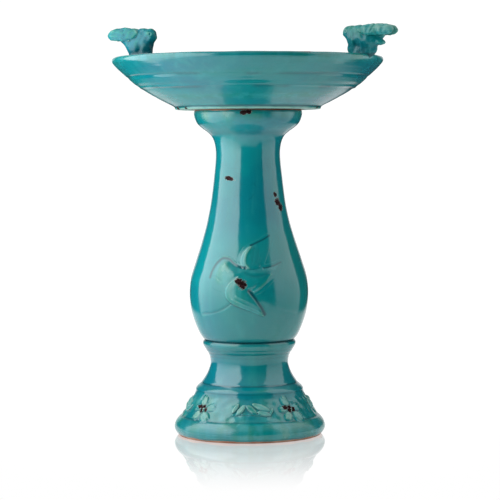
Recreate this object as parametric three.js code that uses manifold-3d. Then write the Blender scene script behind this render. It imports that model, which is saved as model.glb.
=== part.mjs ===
// A glazed earthenware bird bath on a baluster pedestal, in millimetres, +Z up.
// The origin is the middle of the pedestal's foot, on the ground. -Y is the front, where the dove is.
// The loose basin drops into the pedestal's mouth. Two birds sit on its rim, facing each other.
// Every sprig, bird and section is its own solid, with GAP where the real ones are stuck with slip.

import * as THREE from "three";
import { mergeVertices } from "three/addons/utils/BufferGeometryUtils.js";
import Module from "manifold-3d";

const wasm = await Module();
wasm.setup();

// ---- driving dimensions ----
const GAP = 0.3; // between pieces that are stuck or rest together
const WALL = 8.5; // of the pedestal
const COLUMN_FOOT = 142.6; // height where the column stands on the base
const SEAT = 487; // height of the basin's underside
const FLOOR = 500; // height of the basin's inner floor
const RIM_TOP = 565;
const RIM_RADIUS = 202.4;
const PERCH_RADIUS = 190; // of the birds' places on the rim
const BIRD_TURN = -29; // degrees from +X to the front bird
const BACK_BIRD_STRETCH = 1.2; // the back bird stands taller than the front one
const SPRIG_TURN = -3; // degrees that the ring of flowers is turned from the front
const FLOWER_HEIGHT = 42;
const ROUND_SEGMENTS = 32;
const BASIN_SEGMENTS = 40;

const GLAZE = { color: 0x2f9c9e, roughness: 0.12, metalness: 0 };
const CLAY = { color: 0x9a5a44, roughness: 0.85, metalness: 0 };
const degrees = THREE.MathUtils.degToRad;

// ---- outlines: [radius, height] stations, joined by smooth curves between corners ----

// A smooth run of points through the stations, with `steps` equal steps.
function smooth(stations, steps) {
  const through = stations.map(([r, z]) => new THREE.Vector3(r, z, 0));
  const curve = new THREE.CatmullRomCurve3(through, false, "centripetal");
  return curve.getSpacedPoints(steps).map((p) => new THREE.Vector2(p.x, p.y));
}

function corners(...stations) {
  return stations.map(([r, z]) => new THREE.Vector2(r, z));
}

// Runs joined end to end, without the points that two of them share.
function chain(...runs) {
  const all = runs.flat();
  return all.filter((p, i) => i === 0 || p.distanceTo(all[i - 1]) > 1e-3);
}

// A run of points moved sideways: outwards when `by` is positive and the run goes up its outer side.
function offset(run, by) {
  return run.map((p, i) => {
    const before = run[Math.max(i - 1, 0)];
    const after = run[Math.min(i + 1, run.length - 1)];
    const along = after.clone().sub(before).normalize();
    return new THREE.Vector2(Math.max(p.x + along.y * by, 0), p.y - along.x * by);
  });
}

const footBead = smooth([[106.5, 0], [109.6, 4], [112.8, 11], [111.2, 19], [107, 25.5], [101.5, 29.5]], 7);
const ZONE_FOOT = [101.5, 29.5]; // of the cone that the flowers lie on
const ZONE_TOP = [81, 62.5];
const flowerZone = smooth([ZONE_FOOT, [94.5, 40.5], [86.5, 53], ZONE_TOP], 3);
const shoulderBand = smooth([[81, 62.5], [80.4, 67.5], [77.4, 73], [73.2, 76.2]], 3);
const lowerNeck = smooth(
  [[73.2, 76.2], [66.5, 85.5], [60.6, 97], [57.8, 108.5], [60, 120.5], [64.6, 128], [67.2, 132.6]],
  7,
);
const collarBead = smooth([[67.2, 132.6], [69.1, 136.2], [69, 139.4], [67.4, COLUMN_FOOT - GAP]], 3);
const baseOutside = chain(footBead, flowerZone, shoulderBand, lowerNeck, collarBead);
const baseInside = smooth(
  [[97, 0], [98.5, 9], [92, 25], [82, 43], [71, 62], [59, 80], [51.6, 96], [49.3, 109], [52, 121.5],
   [57.5, 131], [59.6, COLUMN_FOOT - GAP]],
  9,
);

const columnOutside = smooth(
  [[68.2, COLUMN_FOOT], [73.2, 151], [80.8, 168], [86.8, 188], [88.9, 212], [86.4, 236], [79.3, 260],
   [70.2, 289], [61.9, 319], [55.4, 351], [51, 385], [48.3, 418], [49.4, 434], [54, 447], [62.6, 455.5],
   [71.8, 462.5], [77.8, 469.5], [80.4, 476], [81, 482.5]],
  22,
);
const mouth = corners([81, 482.5], [78.4, SEAT - GAP], [71.5, SEAT - GAP], [71.5, 478.5]);
// Every other point is enough for the inside, which stops short of the mouth and of the flat foot.
const columnInside = offset(columnOutside, -WALL).filter(
  (p, i) => i % 2 === 0 && p.y < 472 && p.y > COLUMN_FOOT + 3,
);
const columnFootInside = corners([59.8, COLUMN_FOOT]);

const basinOutside = chain(
  corners([0, SEAT], [108.2, SEAT], [109, 490.4]),
  smooth([[109, 490.4], [113, 493.6], [126, 500.1], [137, 505.8], [148, 511.9], [158.6, 518]], 4),
  smooth([[158.6, 518], [163.2, 521.9], [169.4, 526], [178.9, 534.8]], 3),
  smooth([[178.9, 534.8], [184, 539.7], [190.4, 545.2], [196.8, 551.4], [201.2, 556.8], [RIM_RADIUS, 560.6]], 4),
);
const lip = smooth([[RIM_RADIUS, 560.6], [200.8, 563.8], [197.4, RIM_TOP], [193.8, 563.4], [191, 559.6]], 6);
const basinInside = chain(
  smooth([[191, 559.6], [183.4, 549.4], [171.6, 536.8], [156, 524], [136, 512.6], [112, 504.4], [86, 500.8],
          [64, FLOOR]], 9),
  corners([64, FLOOR], [0, FLOOR]),
);
const basinOutline = chain(basinOutside, lip, basinInside);

const ringOutline = corners(
  [57, SEAT - GAP], [57, 477.5], [59.5, 475], [63.5, 475], [65.8, 477.5], [67, SEAT - GAP],
);

// ---- solids ----

// The outline turned about Z. It runs up the outside and down the inside, or starts and ends on the axis.
function turned(outline, segments) {
  const open = outline[0].x > 1e-6;
  const loop = open ? [...outline, outline[0].clone()] : outline;
  return new THREE.LatheGeometry(loop, segments).rotateX(Math.PI / 2);
}

// The run turned about Z and filled in to the axis between its first height and its last.
function filled(run) {
  const first = run[0];
  const last = run[run.length - 1];
  return turned([new THREE.Vector2(0, first.y), ...run, new THREE.Vector2(0, last.y)], ROUND_SEGMENTS);
}

function solid(geometry) {
  const bare = geometry.index ? geometry.toNonIndexed() : geometry.clone();
  bare.deleteAttribute("normal");
  bare.deleteAttribute("uv");
  const merged = mergeVertices(bare, 1e-4);
  return new wasm.Manifold(
    new wasm.Mesh({
      numProp: 3,
      vertProperties: new Float32Array(merged.attributes.position.array),
      triVerts: new Uint32Array(merged.index.array),
    }),
  );
}

function geometryOf(made) {
  const mesh = made.getMesh();
  const places = new Float32Array(mesh.numVert * 3);
  for (let i = 0; i < mesh.numVert; i++) {
    places.set(mesh.vertProperties.subarray(i * mesh.numProp, i * mesh.numProp + 3), i * 3);
  }
  const geometry = new THREE.BufferGeometry();
  geometry.setAttribute("position", new THREE.BufferAttribute(places, 3));
  geometry.setIndex(new THREE.BufferAttribute(new Uint32Array(mesh.triVerts), 1));
  geometry.computeVertexNormals();
  return geometry;
}

function joined(solids) {
  return solids.reduce((all, one) => all.add(one));
}

// The largest body of a cut solid, without the crumbs that the cut left.
function largest(made) {
  return made.decompose().sort((a, b) => b.volume() - a.volume())[0];
}

// An ellipsoid with half-sizes `half`, tilted nose-up by `pitch` and turned left by `yaw` and `roll`.
function lump(centre, half, { pitch = 0, yaw = 0, roll = 0 } = {}) {
  const turn = new THREE.Euler(degrees(roll), degrees(-pitch), degrees(yaw), "ZYX");
  const place = new THREE.Matrix4().compose(
    new THREE.Vector3(...centre),
    new THREE.Quaternion().setFromEuler(turn),
    new THREE.Vector3(...half),
  );
  return new THREE.SphereGeometry(1, 10, 7).applyMatrix4(place);
}

// A bird whose beak points along +X, standing on a rim that passes under the origin along Y.
function bird(stretch) {
  const beak = new THREE.ConeGeometry(2.8, 10, 6)
    .rotateX(Math.PI / 2)
    .rotateY(degrees(115))
    .translate(28, 0, 29.5);
  const wings = [-1, 1].map((side) =>
    lump([-24, side * 9.4, 34.5], [29.5, 4, 8.4], { pitch: 2, yaw: side * 3, roll: side * 12 }));
  const pieces = [
    lump([-2.5, 0, 13.5], [23.5, 14, 15.5], { pitch: 34 }), // body
    lump([11, 0, 14], [12.4, 11.8, 18]), // breast
    lump([5, 0, 31], [15, 11, 11]), // shoulders
    lump([19.5, 0, 31], [10, 9.4, 9.6]), // head
    lump([-25, 0, 18], [14, 7.5, 4.2]), // tail
    ...wings,
    beak,
  ];
  return joined(pieces.map((piece) => solid(piece.scale(1, 1, stretch))));
}

// Moves a solid's geometry from a bird's own frame to its perch, facing the axis.
function perched(made, turn) {
  const place = new THREE.Matrix4()
    .makeRotationZ(degrees(turn + 180))
    .setPosition(
      PERCH_RADIUS * Math.cos(degrees(turn)),
      PERCH_RADIUS * Math.sin(degrees(turn)),
      RIM_TOP,
    );
  return solid(geometryOf(made).applyMatrix4(place));
}

// A flat lump lying on the flower zone, `across` mm along the ring from `turn` and `up` mm up the slope.
const SLOPE = Math.atan2(ZONE_FOOT[0] - ZONE_TOP[0], ZONE_TOP[1] - ZONE_FOOT[1]); // from upright
const FLOWER_RADIUS = ZONE_FOOT[0] - (FLOWER_HEIGHT - ZONE_FOOT[1]) * Math.tan(SLOPE);
function sprig(turn, across, up, half, spin = 0) {
  const radius = FLOWER_RADIUS - up * Math.sin(SLOPE);
  const heading = degrees(turn) + across / radius;
  const place = new THREE.Matrix4()
    .makeRotationZ(heading)
    .multiply(new THREE.Matrix4().makeTranslation(radius, 0, FLOWER_HEIGHT + up * Math.cos(SLOPE)))
    .multiply(new THREE.Matrix4().makeRotationY(-SLOPE))
    .multiply(new THREE.Matrix4().makeRotationX(degrees(spin)));
  const [thick, wide, tall] = half;
  return new THREE.SphereGeometry(1, 8, 5).scale(thick, wide, tall).applyMatrix4(place);
}

const PETALS = 5;
const PETAL_REACH = 13;
function flower(turn) {
  const petals = Array.from({ length: PETALS }, (_, i) => {
    const spin = (360 / PETALS) * i;
    const across = PETAL_REACH * Math.sin(degrees(spin));
    const up = PETAL_REACH * Math.cos(degrees(spin));
    return sprig(turn, across, up, [4, 9, 12], -spin);
  });
  return [...petals, sprig(turn, 0, 0, [5, 5.6, 5.6])];
}

// Each leaf is [along the ring, up the slope, spin, half its width, half its length]:
// two to the left of the stem's middle and three to the right.
const LEAVES = [
  [-7, -3, 40, 3.8, 9],
  [-17.5, -3, 28, 3.2, 9],
  [12, -4, -66, 5.2, 12.5],
  [21.5, 2, -67, 5.8, 14.5],
  [20, -11, -78, 4.2, 9.5],
];
function leafSpray(turn) {
  const leaves = LEAVES.map(([across, up, spin, wide, long]) =>
    sprig(turn, across, up, [3.4, wide, long], -spin));
  const stem = [-12, 0, 12].map((across) => sprig(turn, across, -7, [3, 10, 3.6]));
  return [...leaves, ...stem];
}

// ---- the dove: flat outlines seen from the front, as [x, z], pressed onto the column ----
const DOVE = [
  {
    name: "body",
    thick: 4.2,
    points: [[-30, 247], [-12, 253], [10, 251], [24, 243], [20, 231], [2, 218], [-20, 222], [-32, 234]],
  },
  {
    name: "head",
    thick: 4.6,
    points: [[-57, 241], [-51, 253], [-38, 265], [-26, 262], [-17, 252], [-22, 238], [-38, 232], [-48, 237]],
  },
  {
    name: "raised wing",
    thick: 3.4,
    points: [[-19, 252], [-15, 268], [-3, 283], [26, 297], [24, 281], [20, 262], [12, 244], [-6, 240]],
  },
  {
    name: "tail",
    thick: 2.8,
    points: [[14, 253], [28, 258], [44, 260], [43, 246], [38, 235], [22, 232], [12, 238]],
  },
  {
    name: "lowered wing",
    thick: 3.8,
    points: [
      [-24, 236], [-36, 226], [-35, 212], [-25, 202], [-4, 191], [20, 180], [12, 198], [4, 216], [-6, 232],
    ],
  },
];
const DOVE_ZONE = [165, 315]; // heights of the bulb that the dove's pieces are cut from
const bulbSkin = (by, [low, high]) =>
  solid(filled(offset(columnOutside.filter((p) => p.y > low && p.y < high), by)));

// The part of the column's skin, `thick` mm deep, that the closed smooth outline covers.
const OUTLINE_STEPS = 26;
function pressed({ thick, points }) {
  const through = points.map(([x, z]) => new THREE.Vector3(x, z, 0));
  const curve = new THREE.CatmullRomCurve3(through, true, "centripetal");
  const shape = new THREE.Shape(curve.getSpacedPoints(OUTLINE_STEPS).map((p) => new THREE.Vector2(p.x, p.y)));
  const cutter = new THREE.ExtrudeGeometry(shape, { depth: RIM_RADIUS, bevelEnabled: false, steps: 1 })
    .rotateX(Math.PI / 2)
    .translate(0, -WALL, 0);
  return solid(cutter).intersect(bulbSkin(thick, DOVE_ZONE));
}

function dove() {
  const [low, high] = DOVE_ZONE;
  return joined(DOVE.map(pressed)).subtract(bulbSkin(GAP, [low - 15, high + 15]));
}

// ---- the assembly ----
const group = new THREE.Group();

function add(name, geometry, look = GLAZE) {
  const mesh = new THREE.Mesh(geometry, new THREE.MeshStandardMaterial(look));
  mesh.name = name;
  group.add(mesh);
}

add("pedestal_base", turned([...baseOutside, ...baseInside.reverse()], ROUND_SEGMENTS));
add("pedestal_column", turned(
  chain(columnOutside, mouth, columnInside.reverse(), columnFootInside),
  ROUND_SEGMENTS,
));
add("dove_relief", geometryOf(largest(dove())));

const baseSkin = solid(filled(offset(baseOutside, GAP)));
const SIDES = { front: -90, right: 0, back: 90, left: 180 };
const BETWEEN = { front_left: -135, front_right: -45, back_right: 45, back_left: 135 };
for (const [side, turn] of Object.entries(BETWEEN)) {
  const made = joined(flower(turn + SPRIG_TURN).map(solid)).subtract(baseSkin);
  add("flower_" + side, geometryOf(largest(made)));
}
for (const [side, turn] of Object.entries(SIDES)) {
  const made = joined(leafSpray(turn + SPRIG_TURN).map(solid)).subtract(baseSkin);
  add("leaf_spray_" + side, geometryOf(largest(made)));
}

add("basin", turned(basinOutline, BASIN_SEGMENTS));
add("locating_ring", turned(ringOutline, ROUND_SEGMENTS), CLAY);

const basinSkin = solid(turned(offset(basinOutline, GAP), BASIN_SEGMENTS));
const BIRDS = { front_bird: [1, BIRD_TURN], back_bird: [BACK_BIRD_STRETCH, BIRD_TURN + 180] };
for (const [name, [stretch, turn]] of Object.entries(BIRDS)) {
  add(name, geometryOf(largest(perched(bird(stretch), turn).subtract(basinSkin))));
}

export default group;
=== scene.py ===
"""A glazed ceramic bird bath: a basin with two birds, loose on a pedestal with relief.

Lengths are in millimetres until a mesh is made. -Y is the front, where the dove is.
"""

import math

import bmesh
import bpy
import numpy as np
from mathutils import Matrix, Vector

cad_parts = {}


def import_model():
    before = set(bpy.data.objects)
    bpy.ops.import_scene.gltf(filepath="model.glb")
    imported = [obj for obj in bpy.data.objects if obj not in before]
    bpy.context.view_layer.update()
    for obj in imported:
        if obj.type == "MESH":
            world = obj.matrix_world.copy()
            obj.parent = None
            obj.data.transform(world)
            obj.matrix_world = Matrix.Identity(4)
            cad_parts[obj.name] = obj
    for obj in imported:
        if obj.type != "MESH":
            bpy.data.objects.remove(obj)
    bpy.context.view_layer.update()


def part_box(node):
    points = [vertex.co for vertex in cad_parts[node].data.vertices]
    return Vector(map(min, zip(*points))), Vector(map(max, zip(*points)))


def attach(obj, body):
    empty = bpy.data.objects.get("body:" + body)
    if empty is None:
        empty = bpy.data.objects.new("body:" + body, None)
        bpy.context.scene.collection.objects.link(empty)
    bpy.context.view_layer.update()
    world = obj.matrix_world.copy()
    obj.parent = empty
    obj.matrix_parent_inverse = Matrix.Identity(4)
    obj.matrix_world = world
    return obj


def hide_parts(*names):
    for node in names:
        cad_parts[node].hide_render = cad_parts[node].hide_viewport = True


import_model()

MM = 0.001
FULL_TURN = 2 * math.pi


def span(node):
    """The lowest and highest corners of a CAD node, in millimetres."""
    low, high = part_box(node)
    return np.array(low) / MM, np.array(high) / MM


# ---- outlines ----


def towards(a, b, start, end, s):
    """From `a` at `start` to `b` at `end`."""
    return (end - s) / (end - start) * a + (s - start) / (end - start) * b


def smooth(stations, step=1.3):
    """Points about `step` apart on a centripetal Catmull-Rom curve through the stations."""
    p = np.array(stations, float)
    p = np.vstack([2 * p[0] - p[1], p, 2 * p[-1] - p[-2]])
    run = []
    for a, b, c, d in zip(p[:-3], p[1:-2], p[2:-1], p[3:]):
        t = np.cumsum([0] + [np.linalg.norm(q) ** 0.5 for q in (b - a, c - b, d - c)])
        n = max(1, round(np.linalg.norm(c - b) / step))
        s = np.linspace(t[1], t[2], n, endpoint=False)[:, None]
        bc = towards(b, c, t[1], t[2], s)
        abc = towards(towards(a, b, t[0], t[1], s), bc, t[0], t[2], s)
        bcd = towards(bc, towards(c, d, t[2], t[3], s), t[1], t[3], s)
        run.append(towards(abc, bcd, t[1], t[2], s))
    return np.vstack([*run, p[-2:-1]])


def resampled(run, step):
    """The same line with points `step` apart."""
    s = lengths(run)
    even = np.linspace(0, s[-1], max(2, round(s[-1] / step) + 1))
    return np.stack([np.interp(even, s, run[:, 0]), np.interp(even, s, run[:, 1])], 1)


def lengths(run):
    return np.concatenate([[0], np.cumsum(np.linalg.norm(np.diff(run, axis=0), axis=1))])


def fitted(stations, radius, low, high):
    """The stations scaled so that the widest is at `radius` and they run from `low` to `high`."""
    p = np.array(stations, float)
    p[:, 0] *= radius / p[:, 0].max()
    z0, z1 = p[:, 1].min(), p[:, 1].max()
    p[:, 1] = low + (p[:, 1] - z0) * (high - low) / (z1 - z0)
    return p


BASE_OUTSIDE = [
    (106.5, 0), (109.6, 4), (112.8, 11), (111.2, 19), (107.4, 24.6), (105, 27.2), (101.2, 30.6),
    (94.5, 40.5), (86.5, 53), (81.6, 61.5), (80.5, 65.5), (80.1, 69), (77.4, 73), (73.4, 76.6),
    (66.5, 85.5), (60.6, 97), (57.8, 108.5), (60, 120.5), (64.6, 128), (67.4, 132.8), (69.1, 136.2),
    (69, 139.6), (67.6, 142.3),
]
BASE_INSIDE = [
    (60.5, 141.6), (57.5, 131), (52, 121.5), (49.3, 109), (51.6, 96), (59, 80), (71, 62), (82, 43),
    (92, 25), (98, 9), (97, 0.6),
]
COLUMN_OUTSIDE = [
    (66.8, 142.6), (68.6, 144.6), (73.2, 151), (80.8, 168), (86.8, 188), (88.9, 212), (86.4, 236),
    (79.3, 260), (70.2, 289), (61.9, 319), (55.4, 351), (51, 385), (48.3, 418), (48.9, 431),
    (51.4, 441.5), (55.2, 448.4), (61.4, 454.2), (69.2, 460), (75.6, 466.2), (79, 473), (80.4, 478),
    (81, 482), (80.2, 485), (78, 486.6),
]
COLUMN_INSIDE = [
    (72.4, 486.6), (71.5, 484), (71, 478.5), (67, 468), (56, 458.5), (46, 449), (41, 437),
    (39.8, 420), (42, 388), (47, 352), (54.5, 316), (63.5, 285), (72, 256), (78.6, 232),
    (80.4, 212), (78.4, 190), (72, 168), (64.5, 151), (60.5, 144),
]
BASIN_UNDER = [(0, 487), (60, 487), (104, 487), (107, 487.3)]
BASIN_OUTSIDE = [
    (107, 487.3), (108.7, 488.4), (109, 490.2), (110.2, 491.8), (113, 493.6), (126, 500.1),
    (137, 505.8), (148, 511.9), (156, 516.5), (159.4, 518.6), (163, 521.7), (169.4, 526),
    (175.6, 531.4), (179.6, 535.6), (183.4, 539.2), (190.4, 545.2), (196.8, 551.4), (201.2, 556.8),
    (202.4, 560.8), (200.9, 563.9), (197.4, 565), (193.9, 563.6), (191, 559.8),
]
BASIN_INSIDE = [
    (191, 559.8), (187, 554), (183.4, 549.4), (171.6, 536.8), (156, 524), (136, 512.6),
    (112, 504.4), (86, 500.8), (60, 500), (30, 500), (0, 500),
]
RING_LOOP = [(57, 486.5), (57, 478), (59.5, 475), (63.5, 475), (66, 478), (67, 486.5)]

# ---- noise, all seeded ----


def waves(points, length, seed, count=22):
    """A smooth random field of about unit size: plane waves of about `length` in any direction."""
    rng = np.random.default_rng(seed)
    total = np.zeros(len(points))
    for _ in range(count):
        k = rng.normal(size=3)
        k *= FULL_TURN / (length * rng.uniform(0.7, 1.5)) / np.linalg.norm(k)
        total += np.sin(points @ k + rng.uniform(0, FULL_TURN))
    return total / math.sqrt(count / 2)


def ridges(along, length, seed, count=14):
    """The same along one line: a sum of waves, for throwing rings."""
    rng = np.random.default_rng(seed)
    total = np.zeros_like(along)
    for _ in range(count):
        k = FULL_TURN / (length * rng.uniform(0.6, 1.7))
        total += np.sin(along * k + rng.uniform(0, FULL_TURN))
    return total / math.sqrt(count / 2)


def step_up(x, low, high):
    """0 below `low`, 1 above `high`, and smooth between them."""
    t = np.clip((x - low) / (high - low), 0, 1)
    return t * t * (3 - 2 * t)


# ---- meshes ----


def new_piece(name, points, faces, body, node):
    mesh = bpy.data.meshes.new(name)
    mesh.from_pydata((points * MM).tolist(), [], faces)
    mesh.validate()
    mesh.update()
    return placed(bpy.data.objects.new(name, mesh), body, node)


def linked(thing):
    bpy.context.scene.collection.objects.link(thing)
    return thing


def placed(piece, body, node):
    """The piece, smooth, riding on its body in place of its CAD node."""
    if piece.name not in bpy.context.scene.collection.objects:
        linked(piece)
    piece.data.polygons.foreach_set("use_smooth", [True] * len(piece.data.polygons))
    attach(piece, body)
    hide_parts(node)
    return piece


def per_vertex(piece, name):
    flat = np.empty(len(piece.data.vertices) * 3)
    piece.data.vertices.foreach_get(name, flat)
    return flat.reshape(-1, 3)


def vertices(piece):
    return per_vertex(piece, "co") / MM


def move_vertices(piece, points):
    piece.data.vertices.foreach_set("co", (points * MM).ravel())
    piece.data.update()


def note(piece, name, values):
    """A number at each vertex, which the material reads by name."""
    layer = piece.data.attributes.get(name) or piece.data.attributes.new(name, "FLOAT", "POINT")
    layer.data.foreach_set("value", np.asarray(values, np.float32))


def relaxed(piece, points, rounds):
    """The points after `rounds` of moving each one to the middle of its neighbours."""
    edges = np.empty(len(piece.data.edges) * 2, np.int64)
    piece.data.edges.foreach_get("vertices", edges)
    a, b = edges.reshape(-1, 2).T
    n = len(points)
    degree = np.maximum(np.bincount(a, minlength=n) + np.bincount(b, minlength=n), 1)
    out = points.copy()
    for _ in range(rounds):
        sums = [
            np.bincount(a, out[b, i], minlength=n) + np.bincount(b, out[a, i], minlength=n)
            for i in range(3)
        ]
        out = 0.5 * out + 0.5 * np.stack(sums, 1) / degree[:, None]
    return out


def note_relief(piece, rounds, depth, pooled, thin):
    """Marks where the glaze is thin on what stands proud, and where it pools in what is hollow."""
    points = vertices(piece)
    above = points - relaxed(piece, points, rounds)
    proud = np.einsum("ij,ij->i", above, per_vertex(piece, "normal")) / depth
    thin = np.maximum(0.6 * proud, 0) + thin
    note_glaze(piece, np.maximum(-proud, 0) + pooled, thin, np.zeros(len(points)))


def note_glaze(piece, pooled, thin, bare):
    for name, values in (("pooled", pooled), ("thin", thin), ("bare", bare)):
        note(piece, name, np.clip(values, 0, 1))


def turned(name, loop, columns, shift, body, node):
    """The loop turned about Z, each point then moved out by shift(points, place along the loop).

    A loop that starts on the axis ends there too, and is closed with a fan at each end.
    """
    on_axis = loop[0, 0] < 1e-6
    before, after = np.roll(loop, 1, 0), np.roll(loop, -1, 0)
    if on_axis:
        before[0], after[-1] = loop[0], loop[-1]
    along = after - before
    along /= np.linalg.norm(along, axis=1)[:, None]
    rows, outward, place = loop, np.stack([along[:, 1], -along[:, 0]], 1), lengths(loop)
    if on_axis:
        rows, outward, place = rows[1:-1], outward[1:-1], place[1:-1]
    angle = np.linspace(-math.pi, math.pi, columns, endpoint=False)

    def spun(profile):
        r, z = profile[:, :1], profile[:, 1:2]
        parts = [r * np.cos(angle), r * np.sin(angle), np.repeat(z, columns, 1)]
        return np.stack(parts, -1).reshape(-1, 3)

    points = spun(rows)
    points = points + spun(outward) * shift(points, np.repeat(place, columns))[:, None]
    m = len(rows)
    i, j = np.meshgrid(np.arange(m - 1 if on_axis else m), np.arange(columns), indexing="ij")
    here, beyond, right = i * columns, (i + 1) % m * columns, (j + 1) % columns
    quads = np.stack([here + j, here + right, beyond + right, beyond + j], -1)
    faces = quads.reshape(-1, 4).tolist()
    if on_axis:
        low, high, last = m * columns, m * columns + 1, (m - 1) * columns
        for k in range(columns):
            r = (k + 1) % columns
            faces += [(low, r, k), (high, last + k, last + r)]
        points = np.vstack([points, [0, 0, loop[0, 1]], [0, 0, loop[-1, 1]]])
    return new_piece(name, points, faces, body, node)


# ---- materials ----


class Nodes:
    """Short ways to add shader nodes to a world or a light and link them."""

    def __init__(self, owner):
        owner.use_nodes = True
        self.tree = owner.node_tree

    def put(self, socket, value):
        if isinstance(value, bpy.types.NodeSocket):
            self.tree.links.new(value, socket)
        else:
            socket.default_value = value

    def add(self, kind, sockets=(), **settings):
        """A new node. `sockets` holds its first inputs, or some of them by name or number."""
        node = self.tree.nodes.new("ShaderNode" + kind)
        for key, setting in settings.items():
            setattr(node, key, setting)
        for key, value in sockets.items() if isinstance(sockets, dict) else enumerate(sockets):
            self.put(node.inputs[key], value)
        return node

    def math(self, kind, a, b=0.0):
        return self.add("Math", (a, b), operation=kind).outputs[0]

    def size(self, vector):
        return self.add("VectorMath", (vector,), operation="LENGTH").outputs["Value"]

    def parts(self, vector):
        return self.add("SeparateXYZ", (vector,)).outputs

    def between(self, value, low, high, out_low=0.0, out_high=1.0, kind="SMOOTHSTEP"):
        sockets = (value, low, high, out_low, out_high)
        return self.add("MapRange", sockets, interpolation_type=kind).outputs[0]

    def blended(self, share, a, b):
        return self.add("MixShader", (share, a, b)).outputs[0]


class Material(Nodes):
    """The same for a new material with one principled shader."""

    def __init__(self, name):
        self.material = bpy.data.materials.new(name)
        super().__init__(self.material)
        self.tree.nodes.clear()
        self.shader = self.add("BsdfPrincipled")
        self.output = self.add("OutputMaterial", (self.shader.outputs[0],))
        self.where = self.add("TexCoord").outputs["Object"]

    def noted(self, name):
        return self.add("Attribute", attribute_name=name).outputs["Fac"]

    def scaled(self, scale, move=(0, 0, 0)):
        return self.add("Mapping", (self.where, move, (0, 0, 0), scale)).outputs[0]

    def noise(self, scale, detail=3.0, rough=0.5, vector=None, warp=0.0):
        sockets = {"Scale": scale, "Detail": detail, "Roughness": rough, "Distortion": warp}
        return self.add("TexNoise", {"Vector": vector or self.where, **sockets}).outputs["Fac"]

    def cracks(self, scale, vector):
        sockets = {"Vector": vector, "Scale": scale}
        return self.add("TexVoronoi", sockets, feature="DISTANCE_TO_EDGE").outputs["Distance"]

    def mix(self, share, a, b):
        a, b = ((*value, 1) if isinstance(value, tuple) else value for value in (a, b))
        return self.add("Mix", {0: share, 6: a, 7: b}, data_type="RGBA").outputs[2]

    def near(self, centre, radius, stretch, turn):
        """About 1 at `centre`, in millimetres, falling to 0 at `radius`: a soft blob."""
        centre, reach = [v * MM for v in centre], [radius * MM * v for v in stretch]
        sockets = (self.where, centre, (0, turn, 0), reach)
        place = self.add("Mapping", sockets, vector_type="TEXTURE").outputs[0]
        return self.math("SUBTRACT", 1.0, self.size(place))

    def bump(self, height, distance, strength=1.0, base=None):
        sockets = {"Height": height, "Distance": distance, "Strength": strength}
        if base is not None:
            sockets["Normal"] = base
        return self.add("Bump", sockets).outputs[0]


# Linear colours.
DEEP = (0.0, 0.142, 0.188)
MIDDLE = (0.0, 0.204, 0.226)
SHALLOW = (0.016, 0.235, 0.240)
BREAKING = (0.190, 0.385, 0.335)
POOL = (0.0, 0.050, 0.066)
GREEN = (0.0, 0.182, 0.152)
CLAY = (0.27, 0.110, 0.062)
CLAY_PALE = (0.42, 0.24, 0.165)
CLAY_GRIT = (0.14, 0.06, 0.035)
SCUFF = (0.45, 0.42, 0.37)
RUST = (0.085, 0.012, 0.010)
CHAR = (0.010, 0.004, 0.004)
CHAR_PALE = (0.045, 0.020, 0.023)
WHITE = (1, 1, 1, 1)

GLAZE_IOR = 1.56
CLAY_ROUGH = 0.85
CHIP_ROUGH = 0.6
# Where a chip's scuffed halo, rusty edge and burnt core begin and end, from its outside inwards.
HALO, EDGE, CORE = (0.0, 0.12), (0.09, 0.16), (0.15, 0.22)


def clay_parts(n):
    """Bare fired clay: its colour and its grain."""
    patchy = n.noise(28, 4, 0.6)
    grain = n.noise(900, 3, 0.7)
    colour = n.mix(n.between(patchy, 0.35, 0.7), CLAY, CLAY_PALE)
    return n.mix(n.between(grain, 0.55, 0.75, 0, 0.5), colour, CLAY_GRIT), grain


def chip_field(n, chips, ragged):
    """The chips as one field that grows inwards from each one's ragged outside."""
    edge = n.math("ADD", ragged, n.math("SUBTRACT", n.noise(700, 3, 0.6), 0.5))
    field = None
    for chip in chips:
        blob = n.math("ADD", n.near(*chip), n.math("MULTIPLY", edge, 1.3))
        field = blob if field is None else n.math("MAXIMUM", field, blob)
    return field


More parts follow.
